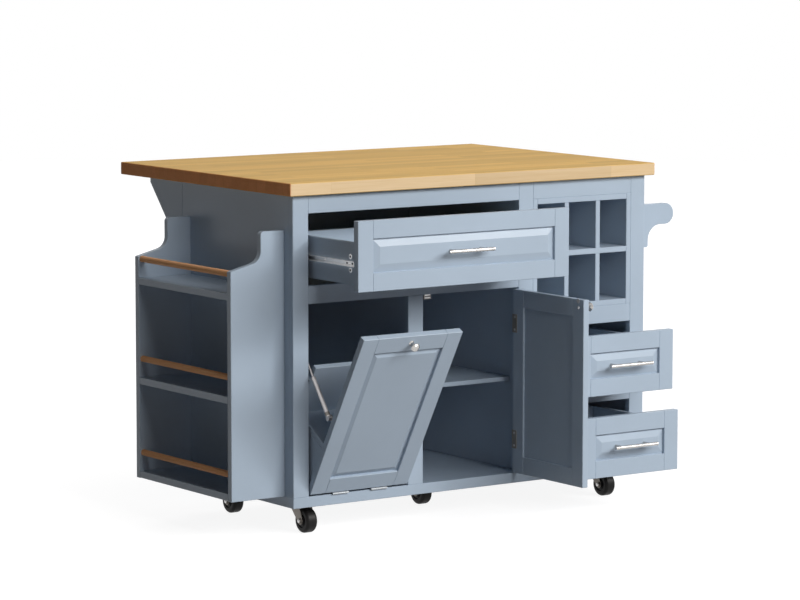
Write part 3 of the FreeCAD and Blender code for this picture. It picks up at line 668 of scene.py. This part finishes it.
def makeTiltScrews(look):  # placed on the tilting door as it leans at rest
    pivot, angle = places["tilt_door_hinge"], look["tiltAngle"]
    sine, cosine = math.sin(angle), math.cos(angle)
    screws = bmesh.new()

    def addScrew(kind, x, depth, rise):  # depth and rise are measured from the pivot, along the door
        place = (x, pivot.y + depth * cosine - rise * sine, pivot.z + depth * sine + rise * cosine)
        joinPart(screws, screwHead(**look[kind]), aimed(place, (0.0, cosine, sine)))

    addScrew("knobScrew", middleOf("tilt_knob").x, look["tiltDepth"], look["tiltKnobRise"])
    leafLow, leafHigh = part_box("tilt_hinge_leaves")
    for x in (leafLow.x + look["hingeHalf"], leafHigh.x - look["hingeHalf"]):
        for side in (-1.0, 1.0):
            addScrew("hingeScrew", x + side * look["screwSpread"], look["tiltDepth"] + look["leaf"],
                     look["tiltLeafRise"])
    finishPiece(screws, "tilt_door_screws", zincSteel, "tilt_front")


def makeDoorScrews(look):
    screws = bmesh.new()
    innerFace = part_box("cabinet_door")[0].x
    knob = middleOf("door_knob")
    joinPart(screws, screwHead(**look["knobScrew"]), aimed((innerFace, knob.y, knob.z), left))
    leafLow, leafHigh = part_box("door_hinge_leaves")
    for z in (leafLow.z + look["hingeHalf"], leafHigh.z - look["hingeHalf"]):
        for side in (-1.0, 1.0):
            place = (leafLow.x, leafLow.y + look["leafMiddle"], z + side * look["screwSpread"])
            joinPart(screws, screwHead(**look["hingeScrew"]), aimed(place, left))
    pivot, catch = places["cabinet_door_hinge"], middleOf("door_catch")
    radius, depth = look["strikeRadius"], look["strikeDepth"]
    strike = turned([(0.0, depth), (radius - depth, depth), (radius, 0.0)])
    strikeY = pivot.y - (pivot.x - catch.x)  # meets the catch when the door is closed
    joinPart(screws, strike, aimed((innerFace, strikeY, catch.z), left))
    finishPiece(screws, "cabinet_door_screws", zincSteel, "swing_door")


def makePolePlates(look):
    catch, face = middleOf("door_catch"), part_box("door_catch")[0].y
    plates = bmesh.new()
    for side in (-1.0, 1.0):
        place = (catch.x, face, catch.z + side * look["magnetRise"])
        bar = plate(look["magnetSize"], look["magnetDepth"], look["magnetDepth"] / 2.0)
        joinPart(plates, bar, Matrix.Translation(place) @ Matrix.Rotation(quarter, 4, "X"))
    finishPiece(plates, "catch_pole_plates", zincSteel, "carcass")


makeTiltScrews(doorFittings)
makeDoorScrews(doorFittings)
makePolePlates(doorFittings)
print("door fittings made")

strutFittings = {
    "eyeRadius": 0.007,
    "tubeShare": 0.467,
    "tubeRadius": 0.006,
    "rodRadius": 0.003,
    "gland": 0.009,
    "glandWall": 0.0006,
    "ferruleRadius": 0.0046,
    "ferrule": (0.008, 0.020),  # start and end, from the upper eye
    "boot": (0.008, 0.018),  # from the lower eye
    "ease": 0.001,
    "longEase": 0.002,
}


def makeStrutFittings(look):
    upper = places["stay_rod_pivot"]
    along = Vector(joints["stay_tube_slide"]["axis"]).normalized()
    length = (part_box("strut_tube")[0].z + look["eyeRadius"] - upper.z) / along.z
    lower = upper + along * length
    tube, rod, ease, longEase = look["tubeRadius"], look["rodRadius"], look["ease"], look["longEase"]
    outer, inner, half = tube + look["glandWall"], rod + look["glandWall"], look["gland"] / 2.0
    tubeEnd = lower - along * (look["tubeShare"] * length)
    glandProfile = [(tube, -half), (outer, -half + ease), (outer, half - longEase),
                    (inner + ease, half), (inner, half), (inner, 0.0)]
    start, end = look["boot"]
    bootProfile = [(tube, start), (outer, start + ease), (outer, end - ease), (tube, end)]
    start, end = look["ferrule"]
    wide = look["ferruleRadius"]
    ferruleProfile = [(rod, start), (wide, start + ease), (wide, end - longEase), (rod, end)]
    for name, profile, matrix, material, body in (
            ("strut_gland", glandProfile, aimed(tubeEnd, -along), strutSteel, "stay_tube"),
            ("strut_boot", bootProfile, aimed(lower, -along), shadeDarkenedSteel, "stay_tube"),
            ("strut_ferrule", ferruleProfile, aimed(upper, along), zincSteel, "stay_rod")):
        bm = bmesh.new()
        joinPart(bm, turned(profile), matrix)
        finishPiece(bm, name, material, body)


makeStrutFittings(strutFittings)
print("strut fittings made")

casterFittings = {
    "count": 5,
    "bolt": {"radius": 0.0048, "height": 0.0019, "bevel": 0.0005},
    "nut": {"radius": 0.0052, "height": 0.0022, "bevel": 0.0006},
    "boltSpread": 0.024,
    "plateDepth": 0.0025,
    "stubRadius": 0.0026,
    "stubHeight": 0.0034,
    "stubEase": 0.0005,
}


def makeCasterFittings(look):
    bolts = bmesh.new()
    spread, ease = look["boltSpread"], look["stubEase"]
    radius, height = look["stubRadius"], look["stubHeight"]
    stub = [(radius, 0.0), (radius, height - ease), (radius - ease, height), (0.0, height)]
    for number in range(1, look["count"] + 1):
        name = "caster_%d" % number
        swivel, roll = places[name + "_swivel_turn"], places[name + "_wheel_roll"]
        for x, y in ((-spread, -spread), (spread, -spread), (-spread, spread), (spread, spread)):
            place = (swivel.x + x, swivel.y + y, swivel.z - look["plateDepth"])
            joinPart(bolts, hexHead(**look["bolt"]), aimed(place, down))
        forkLow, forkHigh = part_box(name + "_fork")
        nuts = bmesh.new()
        for x, axis in ((forkLow.x, left), (forkHigh.x, right)):
            matrix = aimed((x, roll.y, roll.z), axis)
            joinPart(nuts, hexHead(**look["nut"]), matrix)
            joinPart(nuts, turned(stub, smallRound), matrix)
        finishPiece(nuts, name + "_axle_nuts", zincSteel, name + "_swivel")
    finishPiece(bolts, "caster_plate_bolts", shadeDarkenedSteel, "carcass")


makeCasterFittings(casterFittings)
print("caster fittings made")

backPins = {
    "radius": 0.0028,
    "height": 0.0009,
    "rimShare": 0.4,
    "crownShare": 0.7,
    "sides": 16,
    "inset": 0.0075,
    "gap": 0.115,
}


def makeBackPins(look):  # flat heads round the edge of the back panel
    low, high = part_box("back_panel")
    x0, x1 = low.x + look["inset"], high.x - look["inset"]
    z0, z1 = low.z + look["inset"], high.z - look["inset"]
    across, upward = round((x1 - x0) / look["gap"]), round((z1 - z0) / look["gap"])
    spots = [(x0 + (x1 - x0) * step / across, z) for step in range(across + 1) for z in (z0, z1)]
    spots += [(x, z0 + (z1 - z0) * step / upward) for step in range(1, upward) for x in (x0, x1)]
    radius, height = look["radius"], look["height"]
    profile = [(radius, 0.0), (radius, height * look["rimShare"]), (radius * look["crownShare"], height),
               (0.0, height)]
    pins = bmesh.new()
    for x, z in spots:
        joinPart(pins, turned(profile, look["sides"]), aimed((x, high.y, z), inward))
    finishPiece(pins, "back_panel_pins", zincSteel, "carcass")


makeBackPins(backPins)
print("back panel pins made")
